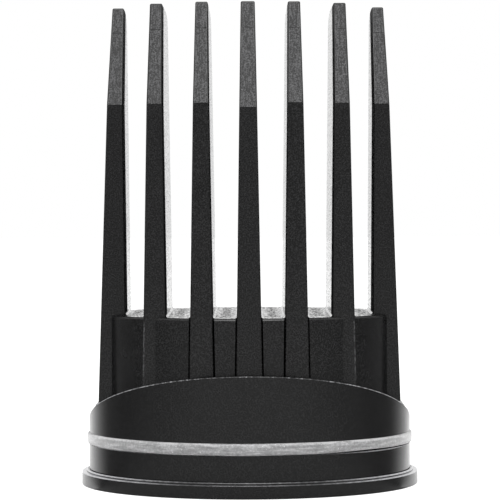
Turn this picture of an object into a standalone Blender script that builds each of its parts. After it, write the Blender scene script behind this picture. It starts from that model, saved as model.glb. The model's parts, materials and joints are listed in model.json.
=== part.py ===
"""Wide-tooth comb attachment for the round outlet of a hair dryer.

Seven deep tapered blades stand in the slots of a round drum, threaded on two tie rods. The drum clicks
into a thin sleeve that carries a pale band, and the sleeve's neck turns in the foot ring, where a split
ring holds it. The foot ring stays on the outlet, and the rest swivels on it.

+Z is up along the swivel axis and -Y is the front. The origin is on that axis, at the underside of the
foot ring. Lengths are in metres.
"""

import math

import bmesh
import bpy
from mathutils import Matrix

MM = 0.001

# Fits
GAP = 0.3 * MM  # clearance between two pieces that touch
CUT_OVERRUN = 4.0 * MM  # how far a cutter runs past the face that it opens

# Foot ring
FLANGE_REACH = 1.75 * MM  # of its rim beyond the sleeve
FLANGE_HEIGHT = 2.95 * MM
STEP_INSET = 1.0 * MM  # from the flange's rim to the raised step
STEP_HEIGHT = 0.5 * MM
LIP_THICKNESS = 1.25 * MM
FLANGE_EDGE = 0.35 * MM
STEP_EDGE = 0.25 * MM

# Split ring under the foot ring's lip
RETAINER_REACH = 1.2 * MM  # how far it runs under the lip
RETAINER_THICKNESS = 0.65 * MM
RETAINER_DEPTH = 0.8 * MM  # of its groove in the neck
RETAINER_SPLIT = 5.0 * MM

# Magnets in the foot ring
MAGNET_COUNT = 6
MAGNET_WIDTH = 2.0 * MM
MAGNET_LENGTH = 8.0 * MM
MAGNET_HEIGHT = 1.8 * MM

# Sleeve and its neck
SLEEVE_RADIUS = 35.75 * MM
SLEEVE_WALL = 0.9 * MM
SLEEVE_FRONT_HEIGHT = 26.1 * MM  # of the rim above the base, at the front and rear
SLEEVE_SIDE_HEIGHT = 14.9 * MM
ARCH_VALLEY_RADIUS = 6.0 * MM  # rounds the rim's low point at each side
FLOOR_THICKNESS = 2.55 * MM
SEAT_RISE = 1.4 * MM  # of the drum's seat above the band's groove
NECK_INSET = 5.45 * MM  # from the sleeve's outer face
NECK_WALL = 1.7 * MM
NECK_BOTTOM = 0.2 * MM

# Pale band in the sleeve's groove
BAND_REACH = 0.55 * MM  # beyond the sleeve
BAND_THICKNESS = 1.1 * MM
BAND_BOTTOM = 8.97 * MM
BAND_HEIGHT = 2.58 * MM
BAND_EDGE = 0.6 * MM

# Drum
DRUM_INSET = 1.75 * MM  # from the sleeve's bore
DRUM_WALL = 1.6 * MM
DECK_TOP = 38.0 * MM
DECK_THICKNESS = 2.2 * MM
DECK_EDGE = 0.6 * MM
FOOT_STEP = 0.3 * MM  # how far the drum's foot stands out from its wall
FOOT_WALL = 2.5 * MM
FOOT_HEIGHT = 3.6 * MM
FOOT_OVERLAP = 0.8 * MM  # of the cross bars' ends in the foot
SLOT_SINK = 0.8 * MM  # how deep the blades' roots sit in the foot's top
LUG_COUNT = 4
LUG_WIDTH = 5.0 * MM
LUG_HEIGHT = 1.2 * MM
LUG_RISE = 0.5 * MM  # of the lugs above the drum's lower edge
LUG_REACH = 0.6 * MM
LUG_ROOT = 1.25 * MM  # of a lug inside the foot
AIR_HOLE_RADIUS = 1.2 * MM
AIR_HOLE_PITCH = 6.0 * MM
AIR_HOLE_MARGIN = 1.5 * MM  # from the last hole's edge to the wall

# Tie rods and the posts that hold them
ROD_RADIUS = 1.5 * MM
ROD_OFFSET = 8.0 * MM  # from the swivel axis, to the front and to the rear
ROD_HEIGHT = 17.0 * MM
POST_DEPTH = 6.0 * MM
POST_COVER = 1.4 * MM  # over the rod's bore
ROD_BLIND_DEPTH = 2.8 * MM  # of the rod's bore in an outer blade

# Comb blades
BLADES_EACH_SIDE = 3
BLADE_TIP = 106.2 * MM  # height of the tips above the base
BLADE_WIDTH_AT_DECK = 4.9 * MM
BLADE_WIDTH_AT_TIP = 2.75 * MM
OUTER_BLADE_INSET = 3.35 * MM  # from the drum's wall to the middle of an outer blade, at the deck
OUTER_PITCH_CUT_AT_DECK = 1.0 * MM  # how much closer the outer blades stand
OUTER_PITCH_CUT_AT_TIP = 1.35 * MM
PITCH_TAPER = 0.2 * MM  # how much closer any two blades stand at the tip
OUTER_BLADE_EXTRA_AT_DECK = 0.4 * MM  # how much thicker an outer blade is, on its outer side
OUTER_BLADE_EXTRA_AT_TIP = 0.1 * MM
OUTER_BLADE_SETBACK = 1.1 * MM
OUTER_BLADE_OVERHANG = 1.2 * MM  # beyond the sleeve's bore, above the rim
BEVEL_HEIGHT = 22.1 * MM  # of the leaning front, down from the tip
MIDDLE_BEVEL_DROP = 1.0 * MM  # how much longer it is on the middle blade
BEVEL_ANGLE = math.radians(29.0)  # from the vertical
REAR_CORNER_DEPTH = 13.0 * MM
REAR_CORNER_SHARE = 0.95  # the most of the tip's flat length that the corner may take
REAR_CORNER_HEIGHT = 3.5 * MM
BLADE_EDGE = 0.3 * MM

# Fineness of round shapes
TURNED_STEPS = 64
SMALL_STEPS = 16
HOLE_STEPS = 10
ARC_STEPS = 3
CORNER_STEPS = 6
SMOOTH_ANGLE = math.radians(30.0)
FLAT_ANGLE = 0.01  # in radians, below which two faces are one
TURN_MERGE = 1e-6  # in metres, between points that a turned shape brings together
PLATE_MERGE = 1e-7

# Heights and radii that follow from the values above
RING_TOP = FLANGE_HEIGHT + STEP_HEIGHT
LIP_BOTTOM = RING_TOP - LIP_THICKNESS
FLANGE_RADIUS = SLEEVE_RADIUS + FLANGE_REACH
NECK_RADIUS = SLEEVE_RADIUS - NECK_INSET
RING_BORE = NECK_RADIUS + GAP
RETAINER_RADIUS = RING_BORE + RETAINER_REACH
COUNTERBORE_RADIUS = RETAINER_RADIUS + GAP
RETAINER_TOP = LIP_BOTTOM - GAP
STEP_RADIUS = FLANGE_RADIUS - STEP_INSET
MAGNET_CIRCLE = (COUNTERBORE_RADIUS + SLEEVE_RADIUS) / 2
SLEEVE_BOTTOM = RING_TOP + GAP
FLOOR_TOP = SLEEVE_BOTTOM + FLOOR_THICKNESS
SLEEVE_BORE = SLEEVE_RADIUS - SLEEVE_WALL
RIM_SLOPE = (SLEEVE_FRONT_HEIGHT - SLEEVE_SIDE_HEIGHT) / SLEEVE_RADIUS
DRUM_RADIUS = SLEEVE_BORE - DRUM_INSET
BAND_RADIUS = SLEEVE_RADIUS + BAND_REACH
BAND_TOP = BAND_BOTTOM + BAND_HEIGHT
BAND_BORE = BAND_RADIUS - BAND_THICKNESS
SEAT_TOP = BAND_TOP + GAP + SEAT_RISE
DRUM_BOTTOM = FLOOR_TOP + GAP
FOOT_TOP = DRUM_BOTTOM + FOOT_HEIGHT
FOOT_RADIUS = DRUM_RADIUS + FOOT_STEP
SEAT_RADIUS = FOOT_RADIUS + GAP
LUG_BOTTOM = DRUM_BOTTOM + LUG_RISE
LUG_TOP = LUG_BOTTOM + LUG_HEIGHT
LUG_RADIUS = FOOT_RADIUS + LUG_REACH
SLOT_FLOOR = FOOT_TOP - SLOT_SINK
BLADE_BOTTOM = SLOT_FLOOR + GAP
BLADE_SHOULDER = SEAT_TOP + GAP
BLADE_LIMIT_RADIUS = SLEEVE_BORE - GAP
OUTER_BLADE_CENTRE = DRUM_RADIUS - OUTER_BLADE_INSET
BLADE_PITCH_AT_DECK = (OUTER_BLADE_CENTRE + OUTER_PITCH_CUT_AT_DECK) / BLADES_EACH_SIDE
BLADE_PITCH_AT_TIP = BLADE_PITCH_AT_DECK - PITCH_TAPER
ROD_BORE_RADIUS = ROD_RADIUS + GAP
POST_TOP = ROD_HEIGHT + ROD_BORE_RADIUS + POST_COVER

# Finishes, as colour, roughness and metallic
BLACK_PLASTIC = ((0.021, 0.021, 0.022, 1.0), 0.42, 0.0)
PALE_BAND = ((0.42, 0.42, 0.43, 1.0), 0.6, 0.0)
BRIGHT_STEEL = ((0.55, 0.55, 0.57, 1.0), 0.3, 1.0)


def clear_scene():
    for obj in list(bpy.data.objects):
        bpy.data.objects.remove(obj, do_unlink=True)


def new_collection(name):
    collection = bpy.data.collections.new(name)
    bpy.context.scene.collection.children.link(collection)
    return collection


def principled(name, colour, roughness, metallic):
    material = bpy.data.materials.new(name)
    material.use_nodes = True
    material.diffuse_color = colour
    shader = material.node_tree.nodes["Principled BSDF"]
    shader.inputs["Base Color"].default_value = colour
    shader.inputs["Roughness"].default_value = roughness
    shader.inputs["Metallic"].default_value = metallic
    return material


def add_object(name, mesh, collection):
    obj = bpy.data.objects.new(name, mesh)
    collection.objects.link(obj)
    return obj


def add_piece(name, mesh, collection, finish):
    """A finished piece of the product, with a material of its own."""
    obj = add_object(name, mesh, collection)
    mesh.materials.clear()
    mesh.materials.append(principled(f"{name} finish", *finish))
    return obj


def add_cutter(name, mesh, collection):
    """A shape that only cuts or joins, so it stays out of the render."""
    obj = add_object(name, mesh, collection)
    obj.hide_render = True
    obj.display_type = "WIRE"
    return obj


def add_boolean(target, tool, operation):
    modifier = target.modifiers.new(f"{operation.lower()} {tool.name}", "BOOLEAN")
    modifier.object = tool
    modifier.operation = operation
    modifier.solver = "EXACT"


def evaluated_mesh(obj):
    """The mesh that an object's modifiers or curve settings make. The object itself is removed."""
    bpy.context.scene.collection.objects.link(obj)
    depsgraph = bpy.context.evaluated_depsgraph_get()
    mesh = bpy.data.meshes.new_from_object(obj.evaluated_get(depsgraph))
    bpy.data.objects.remove(obj, do_unlink=True)
    return mesh


def turned_mesh(name, profile, closed, steps=TURNED_STEPS):
    """A profile of (radius, height) points turned about Z. It runs down its outer side."""
    outline = bpy.data.meshes.new(name)
    count = len(profile)
    last = count if closed else count - 1
    edges = [(i, (i + 1) % count) for i in range(last)]
    outline.from_pydata([(radius, 0.0, height) for radius, height in profile], edges, [])
    obj = bpy.data.objects.new(name, outline)
    screw = obj.modifiers.new("turn", "SCREW")
    screw.axis = "Z"
    screw.angle = math.tau
    screw.steps = steps
    screw.render_steps = steps
    screw.use_merge_vertices = True
    screw.merge_threshold = TURN_MERGE
    mesh = evaluated_mesh(obj)
    mesh.shade_smooth()
    mesh.set_sharp_from_angle(angle=SMOOTH_ANGLE)
    return mesh


def arc(centre, radii, start, end, steps=ARC_STEPS):
    """Points on an ellipse's arc about centre, with its angles in degrees."""
    points = []
    for i in range(steps + 1):
        angle = math.radians(start + (end - start) * i / steps)
        points.append((centre[0] + radii[0] * math.cos(angle), centre[1] + radii[1] * math.sin(angle)))
    return points


def plate_mesh(name, outline, place):
    """A flat outline of (u, v) points made one unit thick each way, then moved by place(u, v, side)."""
    curve = bpy.data.curves.new(name, "CURVE")
    curve.dimensions = "2D"
    curve.fill_mode = "BOTH"
    curve.extrude = 1.0
    spline = curve.splines.new("POLY")
    spline.points.add(len(outline) - 1)
    for point, (u, v) in zip(spline.points, outline):
        point.co = (u, v, 0.0, 1.0)
    spline.use_cyclic_u = True
    mesh = evaluated_mesh(bpy.data.objects.new(name, curve))
    bpy.data.curves.remove(curve)
    shape = bmesh.new()
    shape.from_mesh(mesh)
    bmesh.ops.remove_doubles(shape, verts=shape.verts, dist=PLATE_MERGE)
    bmesh.ops.recalc_face_normals(shape, faces=shape.faces)
    bmesh.ops.dissolve_limit(shape, angle_limit=FLAT_ANGLE, verts=shape.verts, edges=shape.edges)
    for vertex in shape.verts:
        vertex.co = place(vertex.co.x, vertex.co.y, vertex.co.z)
    bmesh.ops.recalc_face_normals(shape, faces=shape.faces)
    if shape.calc_volume(signed=True) < 0.0:
        bmesh.ops.reverse_faces(shape, faces=shape.faces)
    shape.to_mesh(mesh)
    shape.free()
    return mesh


def primitives_mesh(name, add_shapes):
    """A mesh of the separate primitives that add_shapes(shape) puts in it."""
    shape = bmesh.new()
    add_shapes(shape)
    mesh = bpy.data.meshes.new(name)
    shape.to_mesh(mesh)
    shape.free()
    return mesh


def add_cylinder(shape, radius, length, matrix, steps=SMALL_STEPS):
    bmesh.ops.create_cone(
        shape,
        cap_ends=True,
        segments=steps,
        radius1=radius,
        radius2=radius,
        depth=length,
        matrix=matrix,
    )


def add_block(shape, size, matrix):
    """A box of the given size, centred on the matrix's place and turned with it."""
    bmesh.ops.create_cube(shape, size=1.0, matrix=matrix @ Matrix.Diagonal((*size, 1.0)))


def add_box(shape, low, high):
    size = [high[i] - low[i] for i in range(3)]
    centre = [(high[i] + low[i]) / 2 for i in range(3)]
    add_block(shape, size, Matrix.Translation(centre))


# Where a blade's two side faces are, and how deep it is


def blade_centre(index, height):
    """The blade's middle at a height. Blades run from -3 on the left to 3 on the right."""
    share = (height - DECK_TOP) / (BLADE_TIP - DECK_TOP)
    at_deck = abs(index) * BLADE_PITCH_AT_DECK
    at_tip = abs(index) * BLADE_PITCH_AT_TIP
    if abs(index) == BLADES_EACH_SIDE:
        at_deck -= OUTER_PITCH_CUT_AT_DECK
        at_tip -= OUTER_PITCH_CUT_AT_TIP
    return math.copysign(at_deck + (at_tip - at_deck) * share, index)


def blade_width(index, height):
    share = (height - DECK_TOP) / (BLADE_TIP - DECK_TOP)
    at_deck, at_tip = BLADE_WIDTH_AT_DECK, BLADE_WIDTH_AT_TIP
    if abs(index) == BLADES_EACH_SIDE:
        at_deck += OUTER_BLADE_EXTRA_AT_DECK
        at_tip += OUTER_BLADE_EXTRA_AT_TIP
    return at_deck + (at_tip - at_deck) * share


def blade_half_depth(index):
    """The middle of a blade's front is level with the drum's wall, and the outer blades are set back."""
    half_depth = math.sqrt(DRUM_RADIUS**2 - blade_centre(index, DECK_TOP) ** 2)
    if abs(index) == BLADES_EACH_SIDE:
        half_depth -= OUTER_BLADE_SETBACK
    return half_depth


def blade_outline(index):
    """The blade from the side, as (y, z): upright front, leaning bevel, flat tip, round rear corner."""
    half_depth = blade_half_depth(index)
    bevel_height = BEVEL_HEIGHT + (MIDDLE_BEVEL_DROP if index == 0 else 0.0)
    lean = bevel_height * math.tan(BEVEL_ANGLE)
    flat = 2 * half_depth - lean
    corner_depth = min(REAR_CORNER_DEPTH, REAR_CORNER_SHARE * flat)
    corner = arc(
        (half_depth - corner_depth, BLADE_TIP - REAR_CORNER_HEIGHT),
        (corner_depth, REAR_CORNER_HEIGHT),
        90.0,
        0.0,
        CORNER_STEPS,
    )
    return [
        (-half_depth, BLADE_BOTTOM),
        (-half_depth, BLADE_TIP - bevel_height),
        (-half_depth + lean, BLADE_TIP),
        *corner,
        (half_depth, BLADE_BOTTOM),
    ]


def place_in_blade(index, clearance, outward):
    """Gives a plate's sides the blade's taper. Clearance widens it, outward extends its outer side."""

    def place(y, z, side):
        x = blade_centre(index, z) + side * (blade_width(index, z) / 2 + clearance)
        if side * index > 0:
            x += math.copysign(outward, index)
        return (x, y, z)

    return place


def slot_outline(index):
    half_depth = blade_half_depth(index) + GAP
    top = DECK_TOP + CUT_OVERRUN
    return [
        (-half_depth, SLOT_FLOOR),
        (-half_depth, top),
        (half_depth, top),
        (half_depth, SLOT_FLOOR),
    ]


def blade_indices():
    return range(-BLADES_EACH_SIDE, BLADES_EACH_SIDE + 1)


# The pieces


def base_ring(parts, cutters):
    """The foot ring: a flange with a step, a lip for the split ring and pockets for the magnets."""
    profile = [
        *arc((STEP_RADIUS - STEP_EDGE, RING_TOP - STEP_EDGE), (STEP_EDGE, STEP_EDGE), 90, 0, 2),
        (STEP_RADIUS, FLANGE_HEIGHT),
        *arc((FLANGE_RADIUS - FLANGE_EDGE, FLANGE_HEIGHT - FLANGE_EDGE), (FLANGE_EDGE, FLANGE_EDGE), 90, 0),
        *arc((FLANGE_RADIUS - FLANGE_EDGE, FLANGE_EDGE), (FLANGE_EDGE, FLANGE_EDGE), 0, -90, 2),
        (COUNTERBORE_RADIUS, 0.0),
        (COUNTERBORE_RADIUS, LIP_BOTTOM),
        (RING_BORE, LIP_BOTTOM),
        (RING_BORE, RING_TOP),
    ]
    ring = add_piece("base_ring", turned_mesh("base_ring", profile, True), parts, BLACK_PLASTIC)

    pocket_bottom = RING_TOP - MAGNET_HEIGHT - 2 * GAP
    pocket_height = RING_TOP + CUT_OVERRUN - pocket_bottom
    pocket_size = (MAGNET_WIDTH + 2 * GAP, MAGNET_LENGTH + 2 * GAP, pocket_height)

    def add_pockets(shape):
        for place in magnet_places(pocket_bottom + pocket_height / 2):
            add_block(shape, pocket_size, place)

    pockets = add_cutter("magnet_pockets", primitives_mesh("magnet_pockets", add_pockets), cutters)
    add_boolean(ring, pockets, "DIFFERENCE")


def magnet_places(height):
    for i in range(MAGNET_COUNT):
        turn = Matrix.Rotation(math.tau * (i + 0.5) / MAGNET_COUNT, 4, "Z")
        yield turn @ Matrix.Translation((MAGNET_CIRCLE, 0.0, height))


def magnets(parts):
    size = (MAGNET_WIDTH, MAGNET_LENGTH, MAGNET_HEIGHT)
    middle = RING_TOP - GAP - MAGNET_HEIGHT / 2
    for number, place in enumerate(magnet_places(middle), start=1):
        name = f"magnet_{number}"
        mesh = primitives_mesh(name, lambda shape: add_block(shape, size, Matrix.Identity(4)))
        magnet = add_piece(name, mesh, parts, BRIGHT_STEEL)
        magnet.matrix_world = place


def retaining_ring(parts, cutters):
    """The split ring that snaps into the neck's groove, under the foot ring's lip."""
    inner = NECK_RADIUS - RETAINER_DEPTH + GAP
    profile = [
        (RETAINER_RADIUS, RETAINER_TOP),
        (RETAINER_RADIUS, RETAINER_TOP - RETAINER_THICKNESS),
        (inner, RETAINER_TOP - RETAINER_THICKNESS),
        (inner, RETAINER_TOP),
    ]
    mesh = turned_mesh("retaining_ring", profile, True)
    ring = add_piece("retaining_ring", mesh, parts, BRIGHT_STEEL)

    def add_split(shape):
        low = (-RETAINER_SPLIT / 2, inner - CUT_OVERRUN, -CUT_OVERRUN)
        high = (RETAINER_SPLIT / 2, RETAINER_RADIUS + CUT_OVERRUN, RETAINER_TOP + CUT_OVERRUN)
        add_box(shape, low, high)

    split = add_cutter("ring_split", primitives_mesh("ring_split", add_split), cutters)
    add_boolean(ring, split, "DIFFERENCE")


def outer_sleeve(parts, cutters):
    """The thin sleeve with the band's groove, the drum's seat and the neck, and a rim cut to two arches."""
    groove_radius = BAND_BORE - GAP
    neck_groove = NECK_RADIUS - RETAINER_DEPTH
    top = SLEEVE_FRONT_HEIGHT + CUT_OVERRUN
    profile = [
        (SLEEVE_RADIUS, top),
        (SLEEVE_RADIUS, BAND_TOP + GAP),
        (groove_radius, BAND_TOP + GAP),
        (groove_radius, BAND_BOTTOM - GAP),
        (SLEEVE_RADIUS, BAND_BOTTOM - GAP),
        (SLEEVE_RADIUS, SLEEVE_BOTTOM + GAP),
        (SLEEVE_RADIUS - GAP, SLEEVE_BOTTOM),
        (NECK_RADIUS, SLEEVE_BOTTOM),
        (NECK_RADIUS, RETAINER_TOP + GAP),
        (neck_groove, RETAINER_TOP + GAP),
        (neck_groove, RETAINER_TOP - RETAINER_THICKNESS - GAP),
        (NECK_RADIUS, RETAINER_TOP - RETAINER_THICKNESS - GAP),
        (NECK_RADIUS, NECK_BOTTOM),
        (NECK_RADIUS - NECK_WALL, NECK_BOTTOM),
        (NECK_RADIUS - NECK_WALL, FLOOR_TOP),
        (SEAT_RADIUS, FLOOR_TOP),
        (SEAT_RADIUS, LUG_BOTTOM - GAP),
        (LUG_RADIUS + GAP, LUG_BOTTOM - GAP),
        (LUG_RADIUS + GAP, LUG_TOP + GAP),
        (SEAT_RADIUS, LUG_TOP + GAP),
        (SEAT_RADIUS, SEAT_TOP),
        (SLEEVE_BORE, SEAT_TOP),
        (SLEEVE_BORE, top),
    ]
    mesh = turned_mesh("outer_sleeve", profile, True)
    sleeve = add_piece("outer_sleeve", mesh, parts, BLACK_PLASTIC)

    slope = math.atan(RIM_SLOPE)
    slope_degrees = math.degrees(slope)
    far = SLEEVE_RADIUS + CUT_OVERRUN
    valley = arc(
        (0.0, SLEEVE_SIDE_HEIGHT + ARCH_VALLEY_RADIUS / math.cos(slope)),
        (ARCH_VALLEY_RADIUS, ARCH_VALLEY_RADIUS),
        -90.0 - slope_degrees,
        -90.0 + slope_degrees,
        CORNER_STEPS,
    )
    rim = SLEEVE_SIDE_HEIGHT + far * RIM_SLOPE
    above = top + 2 * CUT_OVERRUN
    outline = [(-far, above), (-far, rim), *valley, (far, rim), (far, above)]
    arch = plate_mesh("rim_arch", outline, lambda y, z, side: (side * far, y, z))
    add_boolean(sleeve, add_cutter("rim_arch", arch, cutters), "DIFFERENCE")


def trim_band(parts):
    profile = [
        (BAND_BORE, BAND_TOP),
        *arc((BAND_RADIUS - BAND_EDGE, BAND_TOP - BAND_EDGE), (BAND_EDGE, BAND_EDGE), 90, 0),
        *arc((BAND_RADIUS - BAND_EDGE, BAND_BOTTOM + BAND_EDGE), (BAND_EDGE, BAND_EDGE), 0, -90),
        (BAND_BORE, BAND_BOTTOM),
    ]
    add_piece("trim_band", turned_mesh("trim_band", profile, True), parts, PALE_BAND)


def comb_drum(parts, cutters):
    """The round wall and deck, with a foot, cross bars that hold the tie rods, and a slot for each blade."""
    bore = DRUM_RADIUS - DRUM_WALL
    foot_bore = FOOT_RADIUS - FOOT_WALL
    profile = [
        (0.0, DECK_TOP),
        *arc((DRUM_RADIUS - DECK_EDGE, DECK_TOP - DECK_EDGE), (DECK_EDGE, DECK_EDGE), 90, 0),
        (DRUM_RADIUS, FOOT_TOP),
        (FOOT_RADIUS, FOOT_TOP - FOOT_STEP),
        (FOOT_RADIUS, DRUM_BOTTOM),
        (foot_bore, DRUM_BOTTOM),
        (foot_bore, FOOT_TOP),
        (bore, FOOT_TOP + bore - foot_bore),
        (bore, DECK_TOP - DECK_THICKNESS),
        (0.0, DECK_TOP - DECK_THICKNESS),
    ]
    mesh = turned_mesh("comb_drum", profile, False)
    drum = add_piece("comb_drum", mesh, parts, BLACK_PLASTIC)

    bar_reach = math.sqrt((foot_bore + FOOT_OVERLAP) ** 2 - (ROD_OFFSET - POST_DEPTH / 2) ** 2)

    def add_bars(shape):
        for middle in (-ROD_OFFSET, ROD_OFFSET):
            low = (-bar_reach, middle - POST_DEPTH / 2, DRUM_BOTTOM + GAP)
            high = (bar_reach, middle + POST_DEPTH / 2, POST_TOP)
            add_box(shape, low, high)

    add_boolean(drum, add_cutter("cross_bars", primitives_mesh("cross_bars", add_bars), cutters), "UNION")

    def add_lugs(shape):
        size = (LUG_ROOT + LUG_REACH, LUG_WIDTH, LUG_HEIGHT)
        centre = (LUG_RADIUS - size[0] / 2, 0.0, LUG_BOTTOM + LUG_HEIGHT / 2)
        for i in range(LUG_COUNT):
            turn = Matrix.Rotation(math.tau * (i + 0.5) / LUG_COUNT, 4, "Z")
            add_block(shape, size, turn @ Matrix.Translation(centre))

    add_boolean(drum, add_cutter("snap_lugs", primitives_mesh("snap_lugs", add_lugs), cutters), "UNION")

    for index in blade_indices():
        outward = CUT_OVERRUN if abs(index) == BLADES_EACH_SIDE else 0.0
        place = place_in_blade(index, GAP, outward)
        name = f"blade_slot_{index + BLADES_EACH_SIDE + 1}"
        slot = add_cutter(name, plate_mesh(name, slot_outline(index), place), cutters)
        add_boolean(drum, slot, "DIFFERENCE")

    def add_rod_bores(shape):
        for place in rod_places():
            add_cylinder(shape, ROD_BORE_RADIUS, 2 * bar_reach, place)

    bores = add_cutter("rod_bores", primitives_mesh("rod_bores", add_rod_bores), cutters)
    add_boolean(drum, bores, "DIFFERENCE")

    def add_air_holes(shape):
        length = DECK_THICKNESS + 2 * CUT_OVERRUN
        height = DECK_TOP - DECK_THICKNESS / 2
        for x, y in air_hole_places(bore):
            add_cylinder(shape, AIR_HOLE_RADIUS, length, Matrix.Translation((x, y, height)), HOLE_STEPS)

    holes = add_cutter("air_holes", primitives_mesh("air_holes", add_air_holes), cutters)
    add_boolean(drum, holes, "DIFFERENCE")


def air_hole_places(bore):
    """A row of holes midway between each two blades, as long as the drum's bore allows."""
    for index in range(-BLADES_EACH_SIDE, BLADES_EACH_SIDE):
        x = (blade_right(index, DECK_TOP) + blade_left(index + 1, DECK_TOP)) / 2
        far_side = max(abs(blade_right(index, DECK_TOP)), abs(blade_left(index + 1, DECK_TOP)))
        reach = math.sqrt(bore**2 - far_side**2) - AIR_HOLE_MARGIN - AIR_HOLE_RADIUS
        count = int(reach / AIR_HOLE_PITCH)
        for i in range(-count, count + 1):
            yield x, i * AIR_HOLE_PITCH


def blade_left(index, height):
    return blade_centre(index, height) - blade_width(index, height) / 2


def blade_right(index, height):
    return blade_centre(index, height) + blade_width(index, height) / 2


def rod_places():
    lie_along_x = Matrix.Rotation(math.radians(90.0), 4, "Y")
    for y in (-ROD_OFFSET, ROD_OFFSET):
        yield Matrix.Translation((0.0, y, ROD_HEIGHT)) @ lie_along_x


def rod_bore_end():
    """Half the length between the blind ends of the rod's bore in the two outer blades."""
    return blade_left(BLADES_EACH_SIDE, ROD_HEIGHT) + ROD_BLIND_DEPTH


def tie_rods(parts):
    length = 2 * (rod_bore_end() - GAP)
    for name, place in zip(("tie_rod_front", "tie_rod_rear"), rod_places()):
        mesh = primitives_mesh(
            name, lambda shape: add_cylinder(shape, ROD_RADIUS, length, Matrix.Identity(4))
        )
        rod = add_piece(name, mesh, parts, BRIGHT_STEEL)
        rod.matrix_world = place


def blade_envelope(name, index, cutters):
    """What clears the sleeve. An outer blade is let out again above the rim, with a slope."""
    top = BLADE_TIP + CUT_OVERRUN
    upper = [(0.0, top), (BLADE_LIMIT_RADIUS, top)]
    if abs(index) == BLADES_EACH_SIDE:
        widest = BLADE_LIMIT_RADIUS + OUTER_BLADE_OVERHANG
        clear = SLEEVE_SIDE_HEIGHT + blade_half_depth(index) * RIM_SLOPE + GAP
        upper = [
            (0.0, top),
            (widest, top),
            (widest, clear + OUTER_BLADE_OVERHANG),
            (BLADE_LIMIT_RADIUS, clear),
        ]
    profile = [
        *upper,
        (BLADE_LIMIT_RADIUS, BLADE_SHOULDER),
        (DRUM_RADIUS, BLADE_SHOULDER),
        (DRUM_RADIUS, BLADE_BOTTOM - CUT_OVERRUN),
        (0.0, BLADE_BOTTOM - CUT_OVERRUN),
    ]
    return add_cutter(name, turned_mesh(name, profile, False), cutters)


def comb_blades(parts, cutters):
    """The seven blades, trimmed to clear the sleeve, with a narrow root and bores for the tie rods."""

    def add_rod_bores(shape):
        for place in rod_places():
            add_cylinder(shape, ROD_BORE_RADIUS, 2 * rod_bore_end(), place)

    bores = add_cutter("blade_rod_bores", primitives_mesh("blade_rod_bores", add_rod_bores), cutters)

    for index in blade_indices():
        name = f"comb_blade_{index + BLADES_EACH_SIDE + 1}"
        mesh = plate_mesh(name, blade_outline(index), place_in_blade(index, 0.0, 0.0))
        blade = add_piece(name, mesh, parts, BLACK_PLASTIC)
        edges = blade.modifiers.new("soft edges", "BEVEL")
        edges.width = BLADE_EDGE
        edges.segments = 1
        edges.limit_method = "ANGLE"
        edges.angle_limit = SMOOTH_ANGLE
        add_boolean(blade, blade_envelope(f"envelope_{name}", index, cutters), "INTERSECT")
        add_boolean(blade, bores, "DIFFERENCE")


def main():
    clear_scene()
    parts = new_collection("comb attachment")
    cutters = new_collection("cutters")
    base_ring(parts, cutters)
    magnets(parts)
    retaining_ring(parts, cutters)
    outer_sleeve(parts, cutters)
    trim_band(parts)
    comb_drum(parts, cutters)
    tie_rods(parts)
    comb_blades(parts, cutters)


main()
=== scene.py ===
"""The looks of a wide-tooth comb attachment, built round its packed CAD model.

The seven comb blades, the air holes and the magnets' pockets are laid out by Geometry Nodes. The
round pieces are turned from profiles. The rods, the magnets and the split ring are the CAD model's
own, with finishes of theirs. Lengths are in metres.
"""

import bpy
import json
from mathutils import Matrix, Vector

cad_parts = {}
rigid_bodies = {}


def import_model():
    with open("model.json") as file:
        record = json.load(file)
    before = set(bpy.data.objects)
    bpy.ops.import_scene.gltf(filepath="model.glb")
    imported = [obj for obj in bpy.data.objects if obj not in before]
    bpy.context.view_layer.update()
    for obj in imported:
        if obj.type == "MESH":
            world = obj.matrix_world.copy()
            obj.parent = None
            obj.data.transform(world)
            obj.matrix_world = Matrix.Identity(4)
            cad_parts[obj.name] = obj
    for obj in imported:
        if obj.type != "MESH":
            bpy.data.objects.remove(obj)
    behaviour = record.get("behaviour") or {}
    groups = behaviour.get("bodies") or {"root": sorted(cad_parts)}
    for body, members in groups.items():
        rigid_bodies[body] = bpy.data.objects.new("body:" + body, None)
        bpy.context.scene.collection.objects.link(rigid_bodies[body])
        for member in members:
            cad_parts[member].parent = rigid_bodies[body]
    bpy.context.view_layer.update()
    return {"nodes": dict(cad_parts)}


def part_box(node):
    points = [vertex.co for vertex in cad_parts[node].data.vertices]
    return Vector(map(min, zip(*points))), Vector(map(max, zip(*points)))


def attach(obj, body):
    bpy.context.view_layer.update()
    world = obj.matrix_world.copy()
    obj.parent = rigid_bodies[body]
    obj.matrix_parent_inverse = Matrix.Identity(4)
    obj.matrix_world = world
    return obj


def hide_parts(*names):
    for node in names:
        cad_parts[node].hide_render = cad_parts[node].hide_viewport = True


for leftover in list(bpy.data.objects):
    bpy.data.objects.remove(leftover, do_unlink=True)
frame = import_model()

import json
import math
from functools import partial

import bmesh
from bpy.props import FloatProperty, FloatVectorProperty, IntProperty, PointerProperty
from bpy.types import Operator, Panel, PropertyGroup
from mathutils import Matrix, Vector

bl_info = {
    "name": "Comb Attachment Looks",
    "version": (1, 0, 0),
    "blender": (4, 5, 0),
    "location": "View3D > Sidebar > Comb",
    "description": "Detailed pieces, finishes and studio for a hair dryer's comb attachment",
    "category": "Object",
}

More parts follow.
